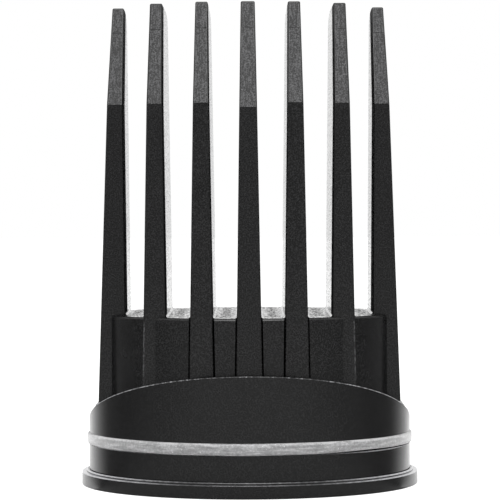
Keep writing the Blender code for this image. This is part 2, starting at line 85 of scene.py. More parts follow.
MM = 0.001
GAP = 0.3 * MM  # between two pieces that touch
CLOSE_GAP = 0.02 * MM  # where no light should come through
OVERLAP = 0.3 * MM  # of two shapes that are joined into one piece
RIM_CLEARANCE = 0.05 * MM  # of the outer blades over the sleeve's rim
OVERRUN = 4.0 * MM  # how far a cutter runs past the face that it opens
MERGE = 1e-7  # between points that are one
OVERHANG_RISE = 0.2  # steepness of the slope under an outer blade's overhang
LIP_FOLLOWS = 0.6  # share of the band's lift by which the groove's lower lip is cut back
LIFT_MIDDLE, LIFT_REACH = math.radians(-38.0), math.radians(36.0)  # where the band has worked up
MATT_ROOT_SHARE = 0.6  # of the matt depth, where the fillets at the roots are matt
SMALL_STEPS = 6  # in a small rounding
CORNER_STEPS = 20  # in a blade's rear corner
HOLE_FACETS, BORE_FACETS, ENVELOPE_FACETS = 24, 32, 64  # of what cuts the pieces
HOLES_IN_ROW = 9  # before those that would open into the wall are deleted
BLADES_EACH_SIDE = 3
BLADE_INDICES = range(-BLADES_EACH_SIDE, BLADES_EACH_SIDE + 1)
MIDDLE_BLADE = "comb_blade_4"
BODY, PAINTED_BEVEL, WORN_PAINTED_HIGHLIGHT, SHEER, MATT = range(5)  # a blade's materials
MAGNET_COUNT = 6
LUG_COUNT = 4
WHITE = (1.0, 1.0, 1.0, 1.0)
FLOOR_SIZE = (8.0, 8.0, 0.01)
KEY_PLACE, KEY_TARGET = Vector((0.0, -0.55, 0.95)), Vector((0.0, 0.0, 0.05))
# Gloss mirrors none of the white background past the first angle from straight to the rear, and
# all of it within the second
BACKDROP_LIMITS = [math.cos(math.radians(angle)) for angle in (60.0, 24.0)]


def cad_high(node):
    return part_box(node)[1]


def drum_radius():
    """Of the drum's wall, which its foot stands out from."""
    return cad_high("comb_drum").x - GAP


# What a user would change


def number(description, default, **limits):
    return partial(FloatProperty, description=description, default=default, **limits)


def length(description, millimetres):
    return number(description, millimetres * MM, min=0.0, precision=5, unit="LENGTH")


def lean(description, degrees):
    return number(description, math.radians(degrees), subtype="ANGLE")


def share(description, default):
    return number(description, default, min=0.0, max=1.0, subtype="FACTOR")


def colour(description, default):
    limits = {"size": 4, "min": 0.0, "max": 1.0, "subtype": "COLOR"}
    return partial(FloatVectorProperty, description=description, default=(*default, 1.0), **limits)


def named(group):
    """Names each setting of a group after its attribute."""
    for key, setting in group.__annotations__.items():
        group.__annotations__[key] = setting(name=key.replace("_", " ").title())
    return group


@named
class CombFinishes(PropertyGroup):
    """Colours and gloss of the comb attachment"""

    body_black: colour("Colour of the black plastic", (0.006, 0.006, 0.0062))
    # Paler than the body black: a painted highlight of the light from above on the tips' leaning
    # fronts
    bevel_black_painted_highlight: colour("Colour of the tips' cut fronts", (0.026, 0.026, 0.0267))
    band_grey: colour("Colour of the pale band", (0.34, 0.34, 0.344))
    steel_grey: colour("Colour of the rods and split ring", (0.55, 0.55, 0.57))
    nickel_grey: colour("Colour of the magnets' plating", (0.62, 0.61, 0.58))
    body_roughness: share("Roughness of the black plastic", 0.2)
    band_roughness: share("Roughness of the pale band", 0.4)


@named
class CombRoundSizes(PropertyGroup):
    """Sizes of the foot ring, the sleeve, the band and the drum"""

    turned_steps: partial(IntProperty, description="Facets round a piece", default=192, min=32)
    step_inset: length("From the flange's rim to its raised step", 1.0)
    step_height: length("Height of the raised step", 0.5)
    flange_edge: length("Radius of the flange's edge", 0.22)
    step_edge: length("Radius of the step's edge", 0.3)
    lip_thickness: length("Of the lip over the split ring", 1.25)
    ring_bore: length("Radius of the foot ring's bore", 30.6)
    counterbore: length("Radius round the split ring", 32.1)
    magnet_width: length("Width of a bar magnet", 2.0)
    magnet_length: length("Length of a bar magnet", 8.0)
    neck_radius: length("Outer radius of the sleeve's neck", 30.3)
    neck_wall: length("Thickness of the neck", 1.7)
    neck_groove: length("Depth of the split ring's groove", 0.8)
    sleeve_wall: length("Thickness of the sleeve", 0.9)
    sleeve_extra: length("How much wider the sleeve is", 0.08)
    sleeve_side: length("Height of the rim at each side", 14.3)
    crest_drop: length("How much flatter the rim is at the front and rear", 0.2)
    valley_radius: length("Rounding of the rim's low points", 6.0)
    rim_edge: length("Radius of the rim's outer edge", 0.24)
    rim_inner_edge: length("Radius of the rim's inner edge", 0.12)
    sleeve_edge: length("Radius of the sleeve's lower edge", 0.06)
    lip: length("Chamfer of the groove's and the neck's edges", 0.05)
    floor_top: length("Height of the floor that the drum stands on", 6.3)
    seat_top: length("Height of the top of the drum's seat", 13.25)
    groove_depth: length("Of the band's groove", 0.85)
    band_thickness: length("From its bore to its face", 1.1)
    band_edge: length("Radius of the band's edges", 0.7)
    band_rise: length("How much higher the band sits in its groove", 0.14)
    band_gap: length("Under the band", 0.05)
    band_wander: length("How far the band's edges wander up and down", 0.03)
    band_lift: length("How far the band has worked up at the front right", 0.28)
    seam: length("Between the foot ring and the sleeve", 0.05)
    drum_wall: length("Thickness of the drum", 1.6)
    deck_thickness: length("Thickness of the drum's deck", 2.2)
    deck_edge: length("Radius of the deck's edge", 0.7)
    inner_edge: length("Radius under the deck's edge", 0.8)
    foot_height: length("Height of the drum's thicker foot", 3.6)
    foot_wall: length("Thickness of the drum's foot", 2.5)
    bar_overlap: length("Of the bars' ends in the drum's foot", 0.8)
    lug_width: length("Width of a snap lug", 5.0)
    lug_height: length("Height of a snap lug", 1.2)
    lug_rise: length("From the drum's lower edge to a lug", 0.5)
    lug_reach: length("How far a lug stands out", 0.6)
    lug_root: length("How far a lug runs into the foot", 1.25)
    air_hole: length("Radius of an air hole", 1.2)
    air_pitch: length("Between two holes of a row", 6.0)
    air_margin: length("From the last hole to the wall", 1.5)


@named
class CombBladeSizes(PropertyGroup):
    """Sizes of the seven blades and their tie rods"""

    width_at_deck: length("Thickness of a blade at the deck", 4.85)
    width_at_tip: length("Thickness of a blade at its tip", 2.7)
    middle_extra: length("How much thicker the middle blade is", 0.36)
    outer_width_at_deck: length("Of an outer blade at the deck", 5.45)
    outer_width_at_tip: length("Of an outer blade at its tip", 2.57)
    pitch_at_deck: length("Between two blades at the deck", 10.13)
    pitch_at_tip: length("Between two blades at the tip", 10.02)
    outer_cut_at_deck: length("How much closer an outer blade is", 0.62)
    outer_cut_at_tip: length("How much closer an outer tip is", 1.15)
    outer_tip_drop: length("How much lower an outer tip is", 0.15)
    outer_overhang: length("Of an outer blade beyond the sleeve's bore", 1.2)
    bevel_height: length("Of the leaning front, down from the tip", 22.3)
    middle_drop: length("How much longer the middle blade's bevel is", 1.0)
    outer_bevel_rise: length("How much shorter an outer bevel is", 0.4)
    root_fillet: length("Radius of the fillet between a blade and the deck", 0.45)
    bevel_angle: lean("Lean of the bevel, from the vertical", 29.0)
    corner_depth: length("Of the rounded rear top corner", 13.0)
    corner_height: length("Of the rounded rear top corner", 3.5)
    corner_share: share("Most of the tip that the corner may take", 0.95)
    edge: length("Radius of the blades' edges", 0.32)
    matt_depth: length("How far the front's dull finish runs back", 9.0)
    root_height: length("Height of the blades' lower ends", 9.7)
    witness_below_tip: length("From the tip down to the witness line", 5.9)
    witness_width: length("Width of the witness line", 0.16)
    witness_depth: length("Depth of the witness line", 0.09)
    limit_radius: length("What trims the outer blades' corners", 34.55)
    rod_radius: length("Radius of a tie rod", 1.5)
    rod_offset: length("From the swivel axis to a rod", 8.0)
    rod_height: length("Height of the rods", 17.0)
    rod_blind: length("Of its bore in an outer blade", 2.8)
    post_depth: length("Depth of the bars that hold the rods", 6.0)
    post_cover: length("Of the bars over a rod's bore", 1.4)


@named
class CombStudioSettings(PropertyGroup):
    """Camera and light"""

    camera_distance: length("From the swivel axis", 620.0)
    camera_height: length("Above the floor", 63.14)
    camera_side: number("To the right", 0.3 * MM, unit="LENGTH")
    camera_pitch: lean("Downward tilt", 1.032)
    camera_roll: lean("Clockwise roll", 0.258)
    lens: number("Focal length in millimetres", 199.4, min=1.0)
    key_strength: number("Watts of the lamp above the front", 9.0)
    key_size: length("Side of that lamp's square", 900.0)
    room_front: number("Strength of the room's light in front", 0.3)
    room_rear: number("Strength of the room's light behind", 1.3)
    mirrored_room: number("The room's front, as gloss mirrors it", 0.38)
    mirrored_sides: number("The room's sides, as gloss mirrors them", 0.18)
    mirrored_ceiling: number("The room's top, as gloss mirrors it", 1.0)
    floor_glow: number("Light that the floor sends to the camera by itself", 0.74)
    floor_paper: share("The floor's own grey, as the camera sees it", 0.5)
    floor_grey: share("The floor, as it lights the object", 0.78)
    floor_front: share("The floor in front, as gloss mirrors it", 0.39)
    floor_sides: share("The floor beside, as gloss mirrors it", 0.12)


SETTINGS = {
    "comb_finishes": CombFinishes,
    "comb_round": CombRoundSizes,
    "comb_blades": CombBladeSizes,
    "comb_studio": CombStudioSettings,
}


def settings(context):
    scene = context.scene
    return scene.comb_round, scene.comb_blades, scene.comb_finishes


# Node trees


class Value:
    """A node's output, which can be reckoned with like a number."""

    def __init__(self, nodes, socket):
        self.nodes, self.socket = nodes, socket

    def __add__(self, other):
        return self.nodes.maths("ADD", self, other)

    def __sub__(self, other):
        return self.nodes.maths("SUBTRACT", self, other)

    def __rsub__(self, other):
        return self.nodes.maths("SUBTRACT", other, self)

    def __mul__(self, other):
        return self.nodes.maths("MULTIPLY", self, other)

    def __truediv__(self, other):
        return self.nodes.maths("DIVIDE", self, other)

    def __abs__(self):
        return self.nodes.maths("ABSOLUTE", self)


class Nodes:
    """A node tree, with short ways to add nodes to it."""

    def __init__(self, tree):
        self.tree = tree

    def join(self, socket, value):
        """Gives an input its value, or joins it to another node's output."""
        if isinstance(value, Value):
            self.tree.links.new(value.socket, socket)
        else:
            socket.default_value = value

    def add(self, kind, values=None, output=0, **options):
        """A new node's output. Values go to its inputs by name or number, options to the node."""
        node = self.tree.nodes.new(kind)
        for name, option in options.items():
            setattr(node, name, option)
        for key, value in (values or {}).items():
            self.join(node.inputs[key], value)
        return Value(self, node.outputs[output])

    def maths(self, operation, *values):
        return self.add("ShaderNodeMath", dict(enumerate(values)), operation=operation)

    def combine(self, x, y, z):
        return self.add("ShaderNodeCombineXYZ", {"X": x, "Y": y, "Z": z})

    def separate(self, vector):
        node = self.add("ShaderNodeSeparateXYZ", {"Vector": vector}).socket.node
        return [Value(self, socket) for socket in node.outputs]

    def blend(self, factor, low, high):
        """low where the factor is 0, high where it is 1."""
        values = {"Factor": factor, "A": low, "B": high}
        return self.add("ShaderNodeMix", values, "Result", data_type="FLOAT", clamp_factor=False)

    def spread(self, value, low, high, to_low, to_high):
        """The value's way from low to high, as a way from one number to another."""
        ends = {"From Min": low, "From Max": high, "To Min": to_low, "To Max": to_high}
        return self.add("ShaderNodeMapRange", {"Value": value, **ends}, "Result")

    def ramp(self, value, stops):
        """Colours by value. Each stop is (place, grey or colour)."""
        made = self.add("ShaderNodeValToRGB", {"Fac": value}, "Color")
        elements = made.socket.node.color_ramp.elements
        while len(elements) < len(stops):
            elements.new(0.5)
        for element, (place, tone) in zip(elements, stops):
            element.position = place
            element.color = (tone, tone, tone, 1.0) if isinstance(tone, float) else tone
        return made

    def points(self, stretch=(1.0, 1.0, 1.0)):
        where = self.add("ShaderNodeTexCoord", output="Object")
        return self.add("ShaderNodeMapping", {"Vector": where, "Scale": stretch})

    def noise(self, scale, detail, roughness, points=None):
        texture = {"Scale": scale, "Detail": detail, "Roughness": roughness}
        return self.add("ShaderNodeTexNoise", {"Vector": points or self.points(), **texture}, "Fac")


class Shape(Nodes):
    """A Geometry Nodes tree with named inputs, run once to make a plain mesh."""

    def __init__(self, name, values, material=None):
        super().__init__(bpy.data.node_groups.new(name, "GeometryNodeTree"))
        interface = self.tree.interface
        interface.new_socket("Geometry", in_out="OUTPUT", socket_type="NodeSocketGeometry")
        self.identifiers = {}
        for label, value in values.items():
            kind = "NodeSocketInt" if isinstance(value, int) else "NodeSocketFloat"
            socket = interface.new_socket(label, in_out="INPUT", socket_type=kind)
            socket.default_value = value
            self.identifiers[label] = socket.identifier
        inputs = self.tree.nodes.new("NodeGroupInput").outputs
        self.given = {label: Value(self, inputs[label]) for label in values}
        self.index = self.add("GeometryNodeInputIndex")
        self.material = material

    def spots(self, count, place):
        """As many points, in a row of edges, each at its place."""
        line = self.add("GeometryNodeMeshLine", {"Count": count, "Offset": (0.0, MM, 0.0)})
        return self.add("GeometryNodeSetPosition", {"Geometry": line, "Position": place})

    def close(self, geometry):
        real = self.add("GeometryNodeRealizeInstances", {"Geometry": geometry})
        values = {"Geometry": real, "Material": self.material}
        painted = self.add("GeometryNodeSetMaterial", values)
        self.join(self.tree.nodes.new("NodeGroupOutput").inputs[0], painted)

    def mesh(self, name, values):
        """The mesh that the tree makes with these input values."""
        obj = add_object(name, bpy.data.meshes.new(name))
        modifier = obj.modifiers.new("shape", "NODES")
        modifier.node_group = self.tree
        for label, value in values.items():
            modifier[self.identifiers[label]] = value
        graph = bpy.context.evaluated_depsgraph_get()
        made = bpy.data.meshes.new_from_object(obj.evaluated_get(graph))
        obj.modifiers.remove(modifier)
        bpy.data.objects.remove(obj, do_unlink=True)
        made.name = name
        return made


# Finishes


class Finish(Nodes):
    """A material on the object's own coordinates. Tints are factors of its base colour."""

    def __init__(self, name, base, roughness, metallic=0.0, specular=0.5):
        self.material = bpy.data.materials.new(name)
        self.material.use_nodes = True
        self.material.diffuse_color = base
        super().__init__(self.material.node_tree)
        self.base, self.shader = base, self.tree.nodes["Principled BSDF"].inputs
        self.shader["Base Color"].default_value = base
        self.shader["Roughness"].default_value = roughness
        self.shader["Metallic"].default_value = metallic
        self.shader["Specular IOR Level"].default_value = specular

    def tint(self, factor):
        return (*(min(channel * factor, 1.0) for channel in self.base[:3]), 1.0)

    def tints(self, value, *stops):
        """Tints by value. Each stop is (place, factor)."""
        return self.ramp(value, [(place, self.tint(factor)) for place, factor in stops])

    def speckled(self, body, specks, low, high, factor):
        """The body colour, with specks of another tint."""
        mask = self.ramp(specks, [(low, 0.0), (high, 1.0)])
        values = {"Factor": mask, "A": body, "B": self.tint(factor)}
        return self.add("ShaderNodeMix", values, "Result", data_type="RGBA")

    def close(self, body, roughness, *layers):
        """Joins the colour, the roughness if it isn't None, and the bumps, each (height, distance
        in millimetres, strength), on top of each other."""
        self.join(self.shader["Base Color"], body)
        if roughness:
            self.join(self.shader["Roughness"], roughness)
        below = {}
        for height, distance, strength in layers:
            values = {"Height": height, "Distance": distance * MM, "Strength": strength, **below}
            below = {"Normal": self.add("ShaderNodeBump", values)}
        self.join(self.shader["Normal"], below["Normal"])
        return self.material


def moulded_plastic(name, base, roughness, grain=1.0):
    """Black plastic with a fine spark-eroded grain, patches of gloss and a few pale specks."""
    made = Finish(name, base, roughness)
    grains, specks = made.noise(3200.0, 3.0, 0.75), made.noise(5200.0, 1.0, 0.5)
    dark, even, pale = 1.0 - 0.95 * grain, 1.0 - 0.2 * grain, 1.0 + 2.6 * grain
    body = made.tints(grains, (0.42, dark), (0.5, even), (0.59, pale))
    patches = made.noise(110.0, 3.0, 0.5)
    gloss = made.spread(patches, 0.3, 0.7, roughness - 0.04, roughness + 0.05)
    body = made.speckled(body, specks, 0.7, 0.78, 5.0)
    return made.close(body, gloss, (grains, 0.006, 0.3 * grain))


def sheer_plastic(name, base, stretch, dull):
    """The smooth sides and deck, which shine where they are seen along their length, with dull
    patches."""
    made = Finish(name, base, 0.16, specular=0.4)
    grains = made.noise(1400.0, 3.0, 0.65)
    patches = made.noise(1.0, 3.0, 0.7, made.points(stretch))
    gloss = made.spread(patches, 0.45, 0.62, 0.08, dull)
    return made.close(made.tints(grains, (0.35, 0.7), (0.65, 1.5)), gloss, (grains, 0.006, 0.3))


def matt_plastic(name, base):
    """The coarse, dull black along the front of a blade's sides."""
    made = Finish(name, base, 0.85, specular=0.12)
    grains = made.noise(3000.0, 3.0, 0.7)
    return made.close(made.tints(grains, (0.36, 0.3), (0.64, 1.8)), None, (grains, 0.02, 0.3))


def bevel_plastic_painted_highlight(name, base):
    """The leaning fronts of the tips: a paler black that paints the highlight of the light from
    above, with short streaks of painted glint that run down the bevel.
    """
    made = Finish(name, base, 0.5, specular=0.25)
    streaks = made.noise(1.0, 3.0, 0.7, made.points((3400.0, 260.0, 420.0)))
    grains = made.noise(3400.0, 3.0, 0.75)
    body = made.tints(streaks * 0.4 + grains * 0.6, (0.46, 0.05), (0.5, 0.8), (0.55, 4.2))
    gloss = made.spread(streaks, 0.35, 0.65, 0.36, 0.56)
    return made.close(body, gloss, (streaks, 0.03, 0.35), (grains, 0.03, 0.35))


def worn_edge_painted_highlight(name, base, below, paleness):
    """An edge that is pale in short dashes up to a height: partly wear, partly a painted highlight,
    which is painted stronger towards the sides."""
    made = Finish(name, base, 0.45, specular=0.4)
    dashes = made.noise(1500.0, 4.0, 0.75)
    x, _, z = made.separate(made.points())
    worn = made.spread(z, below - 1.0 * MM, below, 1.0, 0.0)
    reach = cad_high("outer_sleeve").x
    # Paler towards the sides: a painted highlight
    more = made.spread(abs(x), 0.3 * reach, 0.8 * reach, -0.05, 0.08)
    body = made.tints((dashes + more) * worn, (0.38, 1.0), (0.5, 0.2 * paleness), (0.62, paleness))
    return made.close(body, None, (dashes, 0.04, 0.4))


def painted_highlight_edge(name, base, reach):
    """A polished edge, painted pale all along as a highlight, most at the two sides, where the
    painted highlight is strongest."""
    made = Finish(name, base, 0.14)
    highlight_noise = made.noise(900.0, 4.0, 0.7)
    sideways = abs(made.separate(made.points())[0])
    brighter_at_sides = made.spread(sideways, 0.35 * reach, 0.9 * reach, 0.0, 0.5)
    tones = (0.2, 5.0), (0.3, 11.0), (0.42, 22.0), (0.85, 95.0)
    return made.close(made.tints(highlight_noise * 0.6 + brighter_at_sides, *tones), None, (highlight_noise, 0.01, 0.3))


def band_rubber(name, base, roughness):
    """The pale band: cloudy, with short streaks round the ring and small bright specks, and lighter
    at its upper and lower edges, a painted reflection.
    """
    made = Finish(name, base, roughness)
    made.shader["Sheen Weight"].default_value = 1.0
    made.shader["Sheen Roughness"].default_value = 0.45
    low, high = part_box("trim_band")
    middle, reach = (low.z + high.z) / 2, (high.z - low.z) / 2
    x, y, z = made.separate(made.points())
    around = made.maths("ARCTAN2", y, x) * high.x
    unrolled = made.combine(around * 220.0, z * 1500.0, 0.0)
    # Lighter towards the upper and lower edges: a painted reflection
    rims = made.spread(abs(z - middle), 0.4 * reach, reach, 0.0, 1.0) * 0.12
    clouds = made.noise(1.0, 4.0, 0.65, unrolled) + rims
    grains, specks = made.noise(1900.0, 3.0, 0.7), made.noise(2400.0, 1.0, 0.5)
    body = made.tints(clouds * 0.6 + grains * 0.4, (0.36, 0.6), (0.5, 1.0), (0.62, 1.7))
    body = made.speckled(body, specks, 0.7, 0.76, 2.3)
    gloss = made.spread(clouds, 0.3, 0.7, roughness - 0.1, roughness + 0.1)
    return made.close(body, gloss, (clouds, 0.08, 0.35), (grains, 0.03, 0.3))


def drawn_metal(name, base, roughness, stretch):
    """Metal with fine lines along the way that it was drawn or ground."""
    made = Finish(name, base, roughness, metallic=1.0)
    lines = made.noise(1.0, 3.0, 0.6, made.points(stretch))
    gloss = made.spread(lines, 0.3, 0.7, roughness - 0.08, roughness + 0.1)
    return made.close(made.tints(lines, (0.3, 0.75), (0.7, 1.15)), gloss, (lines, 0.01, 0.25))


# Meshes


def arc(centre, radius, start, end, steps=SMALL_STEPS):
    """Points on a circle's arc in a profile, with its angles in degrees."""
    points = []
    for i in range(steps + 1):
        angle = math.radians(start + (end - start) * i / steps)
        points.append((centre[0] + radius * math.cos(angle), centre[1] + radius * math.sin(angle)))
    return points


def groove(surface, bottom, start, end):
    """A groove's four points in a profile, with its two radii and its two heights."""
    return [(surface, start), (bottom, start), (bottom, end), (surface, end)]


def write_closed(shape, mesh):
    """Turns every face of a closed shape outwards and writes it to the mesh."""
    bmesh.ops.recalc_face_normals(shape, faces=shape.faces)
    if shape.calc_volume(signed=True) < 0.0:
        bmesh.ops.reverse_faces(shape, faces=shape.faces)
    shape.to_mesh(mesh)
    shape.free()
    return mesh


def turned(name, profile_at, steps, rims=None):
    """A closed profile of (radius, height) points turned about Z. profile_at(angle) gives it there.
    rims gives the number of another material to some of the profile's edges, by their number."""
    points, faces, marks = [], [], []
    for step in range(steps):
        angle = math.tau * step / steps
        for radius, height in profile_at(angle):
            points.append((radius * math.cos(angle), radius * math.sin(angle), height))
    count = len(points) // steps
    for step in range(steps):
        here, there = step * count, (step + 1) % steps * count
        for i in range(count):
            after = (i + 1) % count
            faces.append((here + i, there + i, there + after, here + after))
            marks.append(rims.get(i, 0) if rims else 0)
    mesh = bpy.data.meshes.new(name)
    mesh.from_pydata(points, [], faces)
    mesh.polygons.foreach_set("material_index", marks)
    shape = bmesh.new()
    shape.from_mesh(mesh)
    bmesh.ops.remove_doubles(shape, verts=shape.verts, dist=MERGE)
    return write_closed(shape, mesh)


def blocks(name, sizes_and_places):
    shape = bmesh.new()
    for size, place in sizes_and_places:
        bmesh.ops.create_cube(shape, size=1.0, matrix=place @ Matrix.Diagonal((*size, 1.0)))
    return write_closed(shape, bpy.data.meshes.new(name))


def rod_bores(sizes, half_length):
    """Cylinders along X where the two tie rods lie, with a gap round each."""
    shape = bmesh.new()
    radius, along_x = sizes.rod_radius + GAP, Matrix.Rotation(math.radians(90.0), 4, "Y")
    for y in (-sizes.rod_offset, sizes.rod_offset):
        bmesh.ops.create_cone(
            shape,
            cap_ends=True,
            segments=BORE_FACETS,
            radius1=radius,
            radius2=radius,
            depth=2 * half_length,
            matrix=Matrix.Translation((0.0, y, sizes.rod_height)) @ along_x,
        )
    return write_closed(shape, bpy.data.meshes.new("rod_bores"))


def add_object(name, data):
    obj = bpy.data.objects.new(name, data)
    bpy.context.scene.collection.objects.link(obj)
    return obj


def boolean(obj, mesh, operation="DIFFERENCE"):
    """Cuts or joins a mesh into the piece for good. Its faces take the piece's first material."""
    mesh.materials.clear()
    tool = add_object(f"{obj.name}_tool", mesh)
    modifier = obj.modifiers.new(operation, "BOOLEAN")
    modifier.object = tool
    modifier.operation = operation
    modifier.solver = "EXACT"
    apply_modifiers(obj)
    bpy.data.objects.remove(tool, do_unlink=True)


def apply_modifiers(obj):
    graph = bpy.context.evaluated_depsgraph_get()
    old = obj.data
    obj.data = bpy.data.meshes.new_from_object(obj.evaluated_get(graph))
    obj.modifiers.clear()
    bpy.data.meshes.remove(old)


def soften(obj, width, material):
    """Rounds the sharp edges. The rounding takes the material of that number."""
    bevel = obj.modifiers.new("edges", "BEVEL")
    bevel.width = width
    bevel.segments = 4
    bevel.limit_method = "ANGLE"
    bevel.angle_limit = math.radians(30.0)
    bevel.material = material
    apply_modifiers(obj)


def smooth(obj, angle=35.0):
    """Smooth round faces, crisp edges, and flat faces that stay flat beside a small rounding."""
    obj.data.shade_smooth()
    obj.data.set_sharp_from_angle(angle=math.radians(angle))
    weighted = obj.modifiers.new("normals", "WEIGHTED_NORMAL")
    weighted.keep_sharp = True
    weighted.weight = 100
    apply_modifiers(obj)


def paint(obj, *materials):
    """Gives the mesh its materials, in the order of its faces' material numbers."""
    slots = obj.data.materials
    for i, material in enumerate(materials):
        if i < len(slots):
            slots[i] = material
        else:
            slots.append(material)


def turned_piece(name, profile_at, steps, *materials, rims=None):
    """A new piece, turned and painted."""
    piece = add_object(name, turned(name, profile_at, steps, rims))
    paint(piece, *materials)
    return piece


def place_piece(obj, body, slot, *nodes):
    """The piece moves with its body and stands for its CAD nodes."""
    obj.data.name = obj.name
    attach(obj, body)
    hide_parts(*nodes)


# Where the band and the blades are


def band_limits(rounds):
    """Heights of the band's lower and upper edges."""
    low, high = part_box("trim_band")
    return low.z + rounds.band_rise, high.z + rounds.band_rise


def band_lift(rounds, angle):
    """How far the band's lower edge stands clear of its groove, only at the front right."""
    away = math.remainder(angle - LIFT_MIDDLE, math.tau) / LIFT_REACH
    return rounds.band_lift * math.cos(0.5 * math.pi * away) ** 2 if abs(away) < 1.0 else 0.0


def rim_slope(rounds):
    """How fast the sleeve's rim rises from each side to the front and rear."""
    high = cad_high("outer_sleeve")
    return (high.z - rounds.sleeve_side) / high.x


class Blade:
    """Where one of the seven blades is, and how large. Index 0 is the middle one, 3 the right."""

    def __init__(self, sizes, index):
        self.sizes, self.index = sizes, index
        self.number = index + BLADES_EACH_SIDE + 1
        self.node = f"comb_blade_{self.number}"
        self.outer = abs(index) == BLADES_EACH_SIDE
        self.beside_outer = abs(index) == BLADES_EACH_SIDE - 1
        self.half_depth = cad_high(self.node).y
        self.deck, self.tip = cad_high("comb_drum").z, cad_high(MIDDLE_BLADE).z
        self.full_height = self.tip - self.deck
        self.bevel_height = sizes.bevel_height
        extra = 0.0 if index else sizes.middle_extra
        self.widths = sizes.width_at_deck + extra, sizes.width_at_tip + extra
        self.middles = abs(index) * sizes.pitch_at_deck, abs(index) * sizes.pitch_at_tip
        if self.outer:
            self.tip -= sizes.outer_tip_drop
            self.bevel_height -= sizes.outer_bevel_rise
            self.widths = sizes.outer_width_at_deck, sizes.outer_width_at_tip
            at_deck, at_tip = self.middles
            self.middles = at_deck - sizes.outer_cut_at_deck, at_tip - sizes.outer_cut_at_tip
        elif index == 0:
            self.bevel_height += sizes.middle_drop
        self.bevel_start = self.tip - self.bevel_height
        self.lean = self.bevel_height * math.tan(sizes.bevel_angle)

    def tapered(self, at_deck, at_tip, height):
        """What goes evenly from one measure at the deck to another at the middle blade's tip."""
        return at_deck + (at_tip - at_deck) * ((height - self.deck) / self.full_height)

    def centre(self, height):
        return math.copysign(self.tapered(*self.middles, height), self.index)

    def width(self, height):
        return self.tapered(*self.widths, height)

    def values(self):
        """What the blade's shape is given."""
        longest_corner = self.sizes.corner_share * (2 * self.half_depth - self.lean)
        return {
            "Corner Steps": CORNER_STEPS,
            "Half Depth": self.half_depth,
            "Bottom": self.sizes.root_height,
            "Deck": self.deck,
            "Tip": self.tip,
            "Bevel Height": self.bevel_height,
            "Bevel Lean": self.lean,
            "Corner Depth": min(self.sizes.corner_depth, longest_corner),
            "Corner Height": self.sizes.corner_height,
            "Centre at Deck": self.centre(self.deck),
            "Centre at Tip": self.centre(self.tip),
            "Width at Deck": self.widths[0],
            "Width at Tip": self.widths[1],
        }


def blade_shape(values, material):
    """A plate that follows a rule: its outline, seen from the side, is given a width and a centre
    line that taper with height."""
    made = Shape("Comb Blade", values, material)
    given, index = made.given, made.index
    bottom, tip, rear = given["Bottom"], given["Tip"], given["Half Depth"]
    front = rear * -1.0
    corner_depth, corner_height = given["Corner Depth"], given["Corner Height"]
    turn = (1.0 - (index - 3.0) / given["Corner Steps"]) * (math.pi / 2)
    corner_y = made.maths("COSINE", turn) * corner_depth + (rear - corner_depth)
    corner_z = made.maths("SINE", turn) * corner_height + (tip - corner_height)
    last = given["Corner Steps"] + 4.0
    outline = made.combine(front, bottom, 0.0)
    for first, y, z in (
        (1.0, front, tip - given["Bevel Height"]),
        (2.0, front + given["Bevel Lean"], tip),
        (3.0, corner_y, corner_z),
        (last, rear, bottom),
    ):
        reached = made.maths("GREATER_THAN", index, first - 0.5)
        choice = {"Switch": reached, "False": outline, "True": made.combine(y, z, 0.0)}
        outline = made.add("GeometryNodeSwitch", choice, input_type="VECTOR")
    drawn = made.spots(last + 1.0, outline)
    curve = made.add("GeometryNodeMeshToCurve", {"Mesh": drawn})
    ring = made.add("GeometryNodeSetSplineCyclic", {"Geometry": curve, "Cyclic": True})
    face = made.add("GeometryNodeFillCurve", {"Curve": ring}, mode="NGONS")
    raising = {"Mesh": face, "Offset": (0.0, 0.0, 1.0), "Offset Scale": 1.0, "Individual": False}
    raised = made.add("GeometryNodeExtrudeMesh", raising)
    back = made.add("GeometryNodeFlipFaces", {"Mesh": face})
    both = made.add("GeometryNodeJoinGeometry")
    for part in (raised, back):
        made.join(both.socket.node.inputs[0], part)
    plate = made.add("GeometryNodeMergeByDistance", {"Geometry": both, "Distance": MERGE})

    depth, height, side = made.separate(made.add("GeometryNodeInputPosition"))
    part = (height - given["Deck"]) / (tip - given["Deck"])
    centre = made.blend(part, given["Centre at Deck"], given["Centre at Tip"])
    width = made.blend(part, given["Width at Deck"], given["Width at Tip"])
    place = made.combine((side - 0.5) * width + centre, depth, height)
    made.close(made.add("GeometryNodeSetPosition", {"Geometry": plate, "Position": place}))
    return made


def divide_sides(mesh, blade):
    """Divides the sides along a line that runs down a set distance behind the front."""
    shape = bmesh.new()
    shape.from_mesh(mesh)
    line = (0.0, blade.sizes.matt_depth - blade.half_depth, blade.bevel_start)
    lean = blade.sizes.bevel_angle
    for normal in ((0.0, 1.0, 0.0), (0.0, math.cos(lean), -math.sin(lean))):
        cut = {"plane_co": line, "plane_no": normal, "dist": MERGE}
        everything = [*shape.verts, *shape.edges, *shape.faces]
        bmesh.ops.bisect_plane(shape, geom=everything, **cut)
    write_closed(shape, mesh)


def mark_faces(mesh, blade):
    """The leaning front of a tip takes the paler finish with the painted highlight, and the sides a
    matt and a sheer one.
    """
    for face in mesh.polygons:
        if face.normal.y < -0.5 and face.normal.z > 0.3:
            face.material_index = PAINTED_BEVEL
        elif abs(face.normal.x) > 0.9:
            leaning = max(0.0, face.center.z - blade.bevel_start)
            behind = face.center.y + blade.half_depth
            behind -= leaning * math.tan(blade.sizes.bevel_angle)
            face.material_index = MATT if behind < blade.sizes.matt_depth else SHEER
        else:
            face.material_index = BODY


